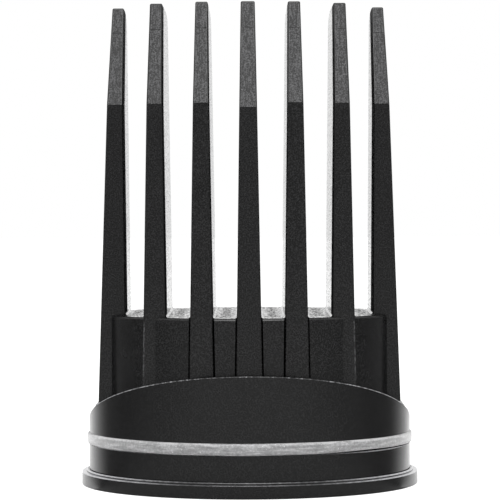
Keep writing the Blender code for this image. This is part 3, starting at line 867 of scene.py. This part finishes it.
def envelope(blade, rounds):
    """What clears the sleeve. An outer blade is let out again above the rim, with a slope."""
    sizes, top, bottom = blade.sizes, blade.tip + OVERRUN, blade.sizes.root_height - OVERRUN
    rim = rounds.sleeve_side + blade.half_depth * rim_slope(rounds) + RIM_CLEARANCE
    limit = widest = sizes.limit_radius
    shoulder = rounds.seat_top + GAP
    above_rim = []
    if blade.outer:
        widest = limit + sizes.outer_overhang
        above_rim = [(widest, rim + OVERHANG_RISE * sizes.outer_overhang), (limit, rim)]
    profile = [(0.0, top), (widest, top), *above_rim, (limit, shoulder)]
    profile += [(drum_radius(), shoulder), (drum_radius(), bottom), (0.0, bottom)]
    return turned("blade_envelope", lambda angle: profile, ENVELOPE_FACETS)


def witness_line(blade):
    """A fine groove straight across the bevel."""
    sizes, height = blade.sizes, blade.tip - blade.sizes.witness_below_tip
    y = blade.lean * (height - blade.bevel_start) / blade.bevel_height - blade.half_depth
    size = (3 * sizes.width_at_tip, 2 * sizes.witness_depth, sizes.witness_width)
    place = Matrix.Translation((blade.centre(height), y, height))
    return blocks("witness_line", [(size, place @ Matrix.Rotation(-sizes.bevel_angle, 4, "X"))])


def root_fillets(blade, rounds):
    """A hollow fillet along each side that has the deck beside it. It covers the slot's gap."""
    radius, low = blade.sizes.root_fillet, blade.deck + CLOSE_GAP
    shape = bmesh.new()
    for side in (-1, 1):
        if blade.index * side == BLADES_EACH_SIDE:
            continue
        face = blade.centre(blade.deck) + side * blade.width(blade.deck) / 2
        inside, outside = face - side * OVERLAP, face + side * radius
        hollow = arc((outside, low + radius), radius, -90, -90 - side * 90)
        outline = [(inside, low), *hollow, (inside, low + radius)]
        far = max(abs(inside), abs(outside))
        reach = math.sqrt((drum_radius() - rounds.deck_edge) ** 2 - far**2)
        reach = min(reach, blade.half_depth - blade.sizes.edge)
        front, rear = ([shape.verts.new((x, y, z)) for x, z in outline] for y in (-reach, reach))
        shape.faces.new(front)
        shape.faces.new(rear)
        for i, corner in enumerate(front):
            after = (i + 1) % len(front)
            shape.faces.new((corner, front[after], rear[after], rear[i]))
    return write_closed(shape, bpy.data.meshes.new("root_fillets"))


def mark_roots(mesh, blade):
    """The fillets take the finish of the side that they belong to."""
    matt_depth, top = MATT_ROOT_SHARE * blade.sizes.matt_depth, blade.sizes.root_fillet
    for face in mesh.polygons:
        if 0.0 < face.center.z - blade.deck < top and abs(face.normal.y) < 0.5:
            behind = face.center.y + blade.half_depth
            face.material_index = MATT if behind < matt_depth else SHEER


class COMB_OT_blades(Operator):
    """Build the seven tapered blades"""

    bl_idname = "comb.blades"
    bl_label = "Comb Blades"

    def execute(self, context):
        rounds, sizes, finishes = settings(context)
        black = finishes.body_black
        materials = [
            moulded_plastic("blade satin black", black, finishes.body_roughness),
            # The tips' leaning fronts: a painted highlight
            bevel_plastic_painted_highlight("cut tip black", finishes.bevel_black_painted_highlight),
            # The outer edges of the blades beside the outer ones: pale dashes below the deck,
            # partly wear and partly a painted highlight
            worn_edge_painted_highlight("worn blade edge", black, cad_high("comb_drum").z, 16.0),
            sheer_plastic("blade side black", black, (2600.0, 260.0, 2600.0), 0.2),
            matt_plastic("blade front side black", black),
        ]
        shape = blade_shape(Blade(sizes, 0).values(), materials[BODY])
        outer = Blade(sizes, BLADES_EACH_SIDE)
        bore_start = outer.centre(sizes.rod_height) - outer.width(sizes.rod_height) / 2
        for index in BLADE_INDICES:
            blade = Blade(sizes, index)
            name = f"blade_{blade.number}"
            piece = add_object(name, shape.mesh(name, blade.values()))
            divide_sides(piece.data, blade)
            paint(piece, *materials)
            mark_faces(piece.data, blade)
            soften(piece, sizes.edge, WORN_PAINTED_HIGHLIGHT if blade.beside_outer else BODY)
            boolean(piece, envelope(blade, rounds), "INTERSECT")
            boolean(piece, rod_bores(sizes, bore_start + sizes.rod_blind))
            boolean(piece, witness_line(blade))
            boolean(piece, root_fillets(blade, rounds), "UNION")
            mark_roots(piece.data, blade)
            smooth(piece, angle=26.0)
            place_piece(piece, "comb_head", "blade_plastic", blade.node)
        return {"FINISHED"}


# The turned pieces


def magnet_pockets(rounds, top):
    """A pocket for each magnet, spaced round the ring by instancing one block."""
    low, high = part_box("magnet_1")
    values = {
        "Count": MAGNET_COUNT,
        "Circle": math.hypot((low.x + high.x) / 2, (low.y + high.y) / 2),
        "Width": rounds.magnet_width + 2 * GAP,
        "Length": rounds.magnet_length + 2 * GAP,
        "Floor": low.z - GAP,
        "Top": top + OVERRUN,
    }
    made = Shape("Magnet Pockets", values)
    count, circle, width, along, floor, top = made.given.values()
    turn = (made.index + 0.5) / count * math.tau
    x, y = made.maths("COSINE", turn) * circle, made.maths("SINE", turn) * circle
    dots = made.spots(count, made.combine(x, y, (floor + top) * 0.5))
    block = made.add("GeometryNodeMeshCube", {"Size": made.combine(width, along, top - floor)})
    placing = {"Points": dots, "Instance": block, "Rotation": made.combine(0.0, 0.0, turn)}
    made.close(made.add("GeometryNodeInstanceOnPoints", placing))
    return made.mesh("magnet_pockets", values)


class COMB_OT_foot_ring(Operator):
    """Build the flanged foot ring"""

    bl_idname = "comb.foot_ring"
    bl_label = "Foot Ring"

    def execute(self, context):
        rounds, _, finishes = settings(context)
        black, high = finishes.body_black, cad_high("base_ring")
        flange_top, step_radius = high.z - rounds.step_height, high.x - rounds.step_inset
        lip_bottom = high.z - rounds.lip_thickness
        edge, step_edge = rounds.flange_edge, rounds.step_edge
        profile = [
            *arc((step_radius - step_edge, high.z - step_edge), step_edge, 90, 0, 5),
            (step_radius, flange_top),
            *arc((high.x - edge, flange_top - edge), edge, 90, 0),
            *arc((high.x - edge, edge), edge, 0, -90, 5),
            (rounds.counterbore, 0.0),
            (rounds.counterbore, lip_bottom),
            (rounds.ring_bore, lip_bottom),
            (rounds.ring_bore, high.z),
        ]
        step_rounding, flange_top_and_edge = range(0, 5), range(6, 13)
        ring = turned_piece(
            "foot_ring",
            lambda angle: profile,
            rounds.turned_steps,
            moulded_plastic("foot ring satin black", black, finishes.body_roughness, 0.5),
            # The flange's top, its edge and the step's rounding: a painted highlight
            painted_highlight_edge("rubbed foot edge", black, high.x),
            rims=dict.fromkeys([*step_rounding, *flange_top_and_edge], 1),
        )
        boolean(ring, magnet_pockets(rounds, high.z))
        smooth(ring)
        place_piece(ring, "base", "ring_plastic", "base_ring")
        return {"FINISHED"}


class COMB_OT_sleeve(Operator):
    """Build the thin sleeve with its arched rim"""

    bl_idname = "comb.sleeve"
    bl_label = "Sleeve"

    def execute(self, context):
        rounds, _, finishes = settings(context)
        black, (low, high) = finishes.body_black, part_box("outer_sleeve")
        radius, bore = high.x + rounds.sleeve_extra, high.x - rounds.sleeve_wall
        bottom = cad_high("base_ring").z + rounds.seam
        band_bottom, band_top = band_limits(rounds)
        band_bore, groove_bottom = radius - rounds.groove_depth, band_bottom - rounds.band_gap
        neck, neck_bore = rounds.neck_radius, rounds.neck_radius - rounds.neck_wall
        neck_groove = neck - rounds.neck_groove
        ring_low, ring_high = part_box("retaining_ring")
        floor, seat = rounds.floor_top, drum_radius() + 2 * GAP
        snap, snap_low = seat + rounds.lug_reach, floor + rounds.lug_rise
        snap_high = snap_low + rounds.lug_height + 2 * GAP
        lip, small = rounds.lip, rounds.sleeve_edge
        inner, edge = rounds.rim_inner_edge, rounds.rim_edge
        slope = math.atan(rim_slope(rounds))
        cut_rim = [
            *arc((bore + inner, -inner), inner, 180, 90, 4),
            *arc((radius - edge, -edge), edge, 90, 0),
        ]
        lower_part = [
            *arc((radius - small, bottom + small), small, 0, -90, 4),
            (neck, bottom),
            *groove(neck, neck_groove, ring_high.z + GAP, ring_low.z - GAP),
            (neck, low.z + lip),
            (neck - lip, low.z),
            (neck_bore + lip, low.z),
            (neck_bore, low.z + lip),
            (neck_bore, floor),
            (seat, floor),
            *groove(seat, snap, snap_low, snap_high),
            (seat, rounds.seat_top),
            (bore, rounds.seat_top),
        ]

        def rim_height(y):
            """Height of the cut rim: two slopes that meet in a round valley at each side."""
            if abs(y) >= rounds.valley_radius * math.sin(slope):
                flatter = rounds.crest_drop * (abs(y) / radius) ** 8
                return rounds.sleeve_side + abs(y) * math.tan(slope) - flatter
            centre = rounds.sleeve_side + rounds.valley_radius / math.cos(slope)
            return centre - math.sqrt(rounds.valley_radius**2 - y * y)

        def profile_at(angle):
            lower_lip = lip + LIP_FOLLOWS * band_lift(rounds, angle)
            return [
                *((r, rim_height(r * math.sin(angle)) + above) for r, above in cut_rim),
                (radius, band_top + lip),
                (radius - lip, band_top),
                (band_bore, band_top),
                (band_bore, groove_bottom),
                (radius - lower_lip, groove_bottom),
                (radius, groove_bottom - lower_lip),
                *lower_part,
            ]

        rim_top_and_edge, groove_lip = range(4, 11), 16
        sleeve = turned_piece(
            "sleeve",
            profile_at,
            2 * rounds.turned_steps,
            moulded_plastic("sleeve satin black", black, finishes.body_roughness, 0.6),
            # The rim's top and edge: pale dashes, partly wear and partly a painted highlight
            worn_edge_painted_highlight("worn sleeve rim", black, high.z + OVERRUN, 80.0),
            # The groove's lower lip: a painted highlight
            painted_highlight_edge("rubbed groove lip", black, radius),
            rims={**dict.fromkeys(rim_top_and_edge, 1), groove_lip: 2},
        )
        smooth(sleeve)
        place_piece(sleeve, "comb_head", "sleeve_plastic", "outer_sleeve")
        return {"FINISHED"}


class COMB_OT_band(Operator):
    """Build the pale band in the sleeve's groove"""

    bl_idname = "comb.band"
    bl_label = "Band"

    def execute(self, context):
        rounds, _, finishes = settings(context)
        radius, edge = cad_high("trim_band").x, rounds.band_edge
        bore = radius - rounds.band_thickness
        lower, upper = band_limits(rounds)

        def profile_at(angle):
            """The edges wander a little, as on a band that was pressed in by hand."""
            waves = math.sin(5 * angle + 0.7) + 0.6 * math.sin(13 * angle)
            wander = rounds.band_wander * waves
            top, bottom = upper + wander, lower + wander + band_lift(rounds, angle)
            return [
                (bore, top),
                *arc((radius - edge, top - edge), edge, 90, 0, 7),
                *arc((radius - edge, bottom + edge), edge, 0, -90, 7),
                (bore, bottom),
            ]

        rubber = band_rubber("pale band", finishes.band_grey, finishes.band_roughness)
        band = turned_piece("band", profile_at, rounds.turned_steps, rubber)
        smooth(band)
        place_piece(band, "comb_head", "band_rubber", "trim_band")
        return {"FINISHED"}


def lugs(rounds, foot, bottom):
    """The lugs that snap into the sleeve's seat."""
    size = (rounds.lug_root + rounds.lug_reach, rounds.lug_width, rounds.lug_height)
    x, z = foot + rounds.lug_reach - size[0] / 2, bottom + rounds.lug_rise + size[2] / 2
    turns = [math.tau * (i + 0.5) / LUG_COUNT for i in range(LUG_COUNT)]
    place = Matrix.Translation((x, 0.0, z))
    return blocks("lugs", [(size, Matrix.Rotation(turn, 4, "Z") @ place) for turn in turns])


def blade_slot(blade, high):
    """The room that a blade needs, close at the rear, so that no light comes through, and open
    outwards at the two outer blades."""
    rear = front = blade.half_depth + GAP
    if abs(blade.index) == 1:
        front = max(front, drum_radius() + OVERRUN)
    shape = bmesh.new()
    for z in (blade.sizes.root_height - GAP, high):
        for y, room in ((-front, GAP), (rear, CLOSE_GAP)):
            for side in (-1, 1):
                outward = blade.index * side > 0
                gap = CLOSE_GAP if blade.beside_outer and outward else room
                past = OVERRUN if blade.outer and outward else 0.0
                x = blade.centre(z) + side * (blade.width(z) / 2 + gap + past)
                shape.verts.new((x, y, z))
    bmesh.ops.convex_hull(shape, input=shape.verts)
    return write_closed(shape, bpy.data.meshes.new("slot"))


def air_holes(rounds, sizes, bore, under, top):
    """A row of holes midway between each two blades: one hole is instanced on a grid of points,
    and the points that would open into the wall are deleted."""
    last, last_but_one = (Blade(sizes, BLADES_EACH_SIDE - back).centre(top) for back in (0, 1))
    values = {
        "Rows": 2 * BLADES_EACH_SIDE,
        "Holes": HOLES_IN_ROW,
        "Pitch": rounds.air_pitch,
        "Radius": rounds.air_hole,
        "Row Pitch": sizes.pitch_at_deck,
        "Outer Row": (last + last_but_one) / 2,
        "Half Gap": (sizes.pitch_at_deck - sizes.width_at_deck) / 2,
        "Bore": bore,
        "Margin": rounds.air_margin + rounds.air_hole,
        "Floor": under,
        "Top": top,
    }
    made = Shape("Air Holes", values)
    given, rows, holes = made.given, made.given["Rows"], made.given["Holes"]
    floor, top = given["Floor"], given["Top"]
    row = made.maths("FLOOR", made.index / holes)
    from_middle = row - (rows - 1.0) * 0.5
    away = made.maths("MINIMUM", abs(from_middle) * given["Row Pitch"], given["Outer Row"])
    y = (made.index - row * holes - (holes - 1.0) * 0.5) * given["Pitch"]
    far = away + given["Half Gap"]
    bore = given["Bore"]
    room = made.maths("SQRT", bore * bore - far * far) - given["Margin"]
    x, z = made.maths("SIGN", from_middle) * away, (floor + top) * 0.5
    outside = made.maths("GREATER_THAN", abs(y), room)
    spots = {"Geometry": made.spots(rows * holes, made.combine(x, y, z)), "Selection": outside}
    kept = made.add("GeometryNodeDeleteGeometry", spots, domain="POINT")
    size = {"Vertices": HOLE_FACETS, "Radius": given["Radius"], "Depth": top - floor + 2 * OVERRUN}
    drill = made.add("GeometryNodeMeshCylinder", size)
    made.close(made.add("GeometryNodeInstanceOnPoints", {"Points": kept, "Instance": drill}))
    return made.mesh("air_holes", values)


class COMB_OT_drum(Operator):
    """Build the drum with its deck, slots, bars, lugs and air holes"""

    bl_idname = "comb.drum"
    bl_label = "Drum"

    def execute(self, context):
        rounds, sizes, finishes = settings(context)
        black, (low, high) = finishes.body_black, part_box("comb_drum")
        radius, edge, inner = drum_radius(), rounds.deck_edge, rounds.inner_edge
        bore, foot, foot_top = radius - rounds.drum_wall, radius + GAP, low.z + rounds.foot_height
        foot_bore, under = foot - rounds.foot_wall, high.z - rounds.deck_thickness
        profile = [
            (0.0, high.z),
            *arc((radius - edge, high.z - edge), edge, 90, 0),
            (radius, foot_top),
            (foot, foot_top - GAP),
            (foot, low.z),
            (foot_bore, low.z),
            (foot_bore, foot_top),
            (bore, foot_top + bore - foot_bore),
            *arc((bore - inner, under - inner), inner, 0, 90, 4),
            (0.0, under),
        ]
        drum = turned_piece(
            "drum",
            lambda angle: profile,
            rounds.turned_steps,
            moulded_plastic("drum satin black", black, finishes.body_roughness + 0.04),
            sheer_plastic("deck black", black, (1900.0, 330.0, 1900.0), 0.4),
        )
        half_bar = sizes.post_depth / 2
        inside = foot_bore + rounds.bar_overlap
        reach = math.sqrt(inside**2 - (sizes.rod_offset - half_bar) ** 2)
        bar_top = sizes.rod_height + sizes.rod_radius + GAP + sizes.post_cover
        bar_low = low.z + GAP
        bar = (2 * reach, sizes.post_depth, bar_top - bar_low)
        places = [(0.0, side * sizes.rod_offset, (bar_top + bar_low) / 2) for side in (-1, 1)]
        bars = blocks("bars", [(bar, Matrix.Translation(place)) for place in places])
        boolean(drum, bars, "UNION")
        boolean(drum, lugs(rounds, foot, low.z), "UNION")
        for index in BLADE_INDICES:
            boolean(drum, blade_slot(Blade(sizes, index), high.z + OVERRUN))
        boolean(drum, rod_bores(sizes, reach))
        boolean(drum, air_holes(rounds, sizes, bore, under, high.z))
        for face in drum.data.polygons:
            if face.normal.z > 0.9 and face.center.z > under:
                face.material_index = 1
        smooth(drum)
        place_piece(drum, "comb_head", "drum_plastic", "comb_drum")
        return {"FINISHED"}


class COMB_OT_hardware(Operator):
    """Give the rods, the split ring and the magnets their metal"""

    bl_idname = "comb.hardware"
    bl_label = "Rods, Split Ring and Magnets"

    def execute(self, context):
        finishes = context.scene.comb_finishes
        steel = finishes.steel_grey
        drawn = drawn_metal("drawn rod steel", steel, 0.28, (120.0, 3000.0, 3000.0))
        spring = drawn_metal("spring ring steel", steel, 0.34, (1400.0, 1400.0, 300.0))
        nickel = drawn_metal("magnet nickel", finishes.nickel_grey, 0.2, (900.0, 900.0, 900.0))
        wanted = {"tie_rod_front": drawn, "tie_rod_rear": drawn, "retaining_ring": spring}
        wanted.update({f"magnet_{i + 1}": nickel for i in range(MAGNET_COUNT)})
        for node, metal in wanted.items():
            obj = frame["nodes"][node]
            for holder in obj.material_slots:
                holder.material = metal
            if not obj.material_slots:
                obj.data.materials.append(metal)
        return {"FINISHED"}


# The studio


def rearward(nodes, place, aside):
    """1 to the rear, 0 to each side and -1 in front. The place is a direction, or a point of
    the floor beside an object that reaches that far to each side."""
    x, y, _ = nodes.separate(place)
    y = y + 0.4 * aside
    sideways = nodes.maths("MAXIMUM", abs(x) - aside, 0.0)
    away = nodes.maths("SQRT", sideways * sideways + y * y)
    return y / nodes.maths("MAXIMUM", away, 0.0001)


def seen_white(nodes, rearwards):
    """1 where the white background is seen: by the camera, through glass, and by gloss that
    looks to the rear. The second result is 1 for every gloss."""
    backdrop = nodes.spread(rearwards, *BACKDROP_LIMITS, 0.0, 1.0)
    path = nodes.tree.nodes.new("ShaderNodeLightPath").outputs
    camera, through, glossy = (
        Value(nodes, path[f"Is {kind} Ray"]) for kind in ("Camera", "Transmission", "Glossy")
    )
    mirrored = glossy * nodes.maths("POWER", backdrop, 1.5)
    seen = nodes.maths("MAXIMUM", camera, through)
    return nodes.maths("MAXIMUM", seen, mirrored), glossy


def add_floor(values):
    middle = Matrix.Translation((0.0, 0.0, -FLOOR_SIZE[2] / 2))
    floor = add_object("floor", blocks("floor", [(FLOOR_SIZE, middle)]))
    material = bpy.data.materials.new("white floor")
    material.use_nodes = True
    nodes = Nodes(material.node_tree)
    nodes.tree.nodes.clear()
    paper = nodes.add("ShaderNodeBsdfDiffuse", {"Color": (*[values.floor_paper] * 3, 1.0)})
    glow = nodes.add("ShaderNodeEmission", {"Color": WHITE, "Strength": values.floor_glow})
    lit = nodes.add("ShaderNodeAddShader", {0: paper, 1: glow})
    rearwards = rearward(nodes, nodes.points(), cad_high("base_ring").x)
    white, glossy = seen_white(nodes, rearwards)
    mirrored = nodes.spread(rearwards, -0.9, 0.1, values.floor_front, values.floor_sides)
    grey = nodes.blend(glossy, values.floor_grey, mirrored)
    plain = nodes.add("ShaderNodeBsdfDiffuse", {"Color": nodes.combine(grey, grey, grey)})
    mixed = nodes.add("ShaderNodeMixShader", {0: white, 1: plain, 2: lit})
    output = nodes.tree.nodes.new("ShaderNodeOutputMaterial")
    nodes.join(output.inputs["Surface"], mixed)
    paint(floor, material)


def add_room(scene, values):
    world = bpy.data.worlds.new("white room")
    world.use_nodes = True
    scene.world = world
    nodes = Nodes(world.node_tree)
    background = nodes.tree.nodes["Background"].inputs
    background["Color"].default_value = WHITE
    towards = nodes.add("ShaderNodeTexCoord", output="Generated")
    rearwards, upwards = rearward(nodes, towards, 0.0), nodes.separate(towards)[2]
    white, glossy = seen_white(nodes, rearwards)
    lit = nodes.spread(rearwards, -0.6, 0.6, values.room_front, values.room_rear)
    walls = nodes.spread(rearwards, -0.9, 0.1, values.mirrored_room, values.mirrored_sides)
    mirrored = nodes.spread(upwards, 0.35, 0.75, walls, values.mirrored_ceiling)
    plain = nodes.blend(glossy, lit, mirrored)
    nodes.join(background["Strength"], nodes.blend(white, plain, 1.0))


def add_lamp(values):
    light = bpy.data.lights.new("key", "AREA")
    light.energy = values.key_strength
    light.shape = "SQUARE"
    light.size = values.key_size
    lamp = add_object("key", light)
    lamp.location = KEY_PLACE
    lamp.rotation_mode = "QUATERNION"
    lamp.rotation_quaternion = (KEY_TARGET - KEY_PLACE).to_track_quat("-Z", "Y")


def add_camera(scene, values):
    data = bpy.data.cameras.new("camera")
    data.sensor_width = 36.0
    data.lens = values.lens
    camera = add_object("camera", data)
    camera.location = (values.camera_side, -values.camera_distance, values.camera_height)
    camera.rotation_euler = (math.pi / 2 - values.camera_pitch, values.camera_roll, 0.0)
    scene.camera = camera


class COMB_OT_studio(Operator):
    """Set up the floor, the lamp, the room and the camera"""

    bl_idname = "comb.studio"
    bl_label = "Studio"

    def execute(self, context):
        scene = context.scene
        values = scene.comb_studio
        add_floor(values)
        add_room(scene, values)
        add_lamp(values)
        add_camera(scene, values)
        scene.view_settings.view_transform = "Standard"
        return {"FINISHED"}


class COMB_PT_panel(Panel):
    """Lists the steps and their settings"""

    bl_idname = "COMB_PT_panel"
    bl_label = "Comb Attachment"
    bl_space_type = "VIEW_3D"
    bl_region_type = "UI"
    bl_category = "Comb"

    def draw(self, context):
        for operator in STEPS:
            self.layout.operator(operator.bl_idname)
        for name, kind in SETTINGS.items():
            box = self.layout.box()
            box.label(text=kind.__doc__)
            for value in kind.__annotations__:
                box.prop(getattr(context.scene, name), value)


STEPS = (
    COMB_OT_foot_ring,
    COMB_OT_sleeve,
    COMB_OT_band,
    COMB_OT_drum,
    COMB_OT_blades,
    COMB_OT_hardware,
    COMB_OT_studio,
)


def register():
    for kind in (*SETTINGS.values(), *STEPS, COMB_PT_panel):
        bpy.utils.register_class(kind)
    for name, kind in SETTINGS.items():
        setattr(bpy.types.Scene, name, PointerProperty(type=kind))


def unregister():
    for name in SETTINGS:
        delattr(bpy.types.Scene, name)
    for kind in reversed((*SETTINGS.values(), *STEPS, COMB_PT_panel)):
        bpy.utils.unregister_class(kind)


def main():
    register()
    bpy.ops.comb.foot_ring()
    bpy.ops.comb.sleeve()
    bpy.ops.comb.band()
    bpy.ops.comb.drum()
    bpy.ops.comb.blades()
    bpy.ops.comb.hardware()
    bpy.ops.comb.studio()


if __name__ == "__main__":
    main()
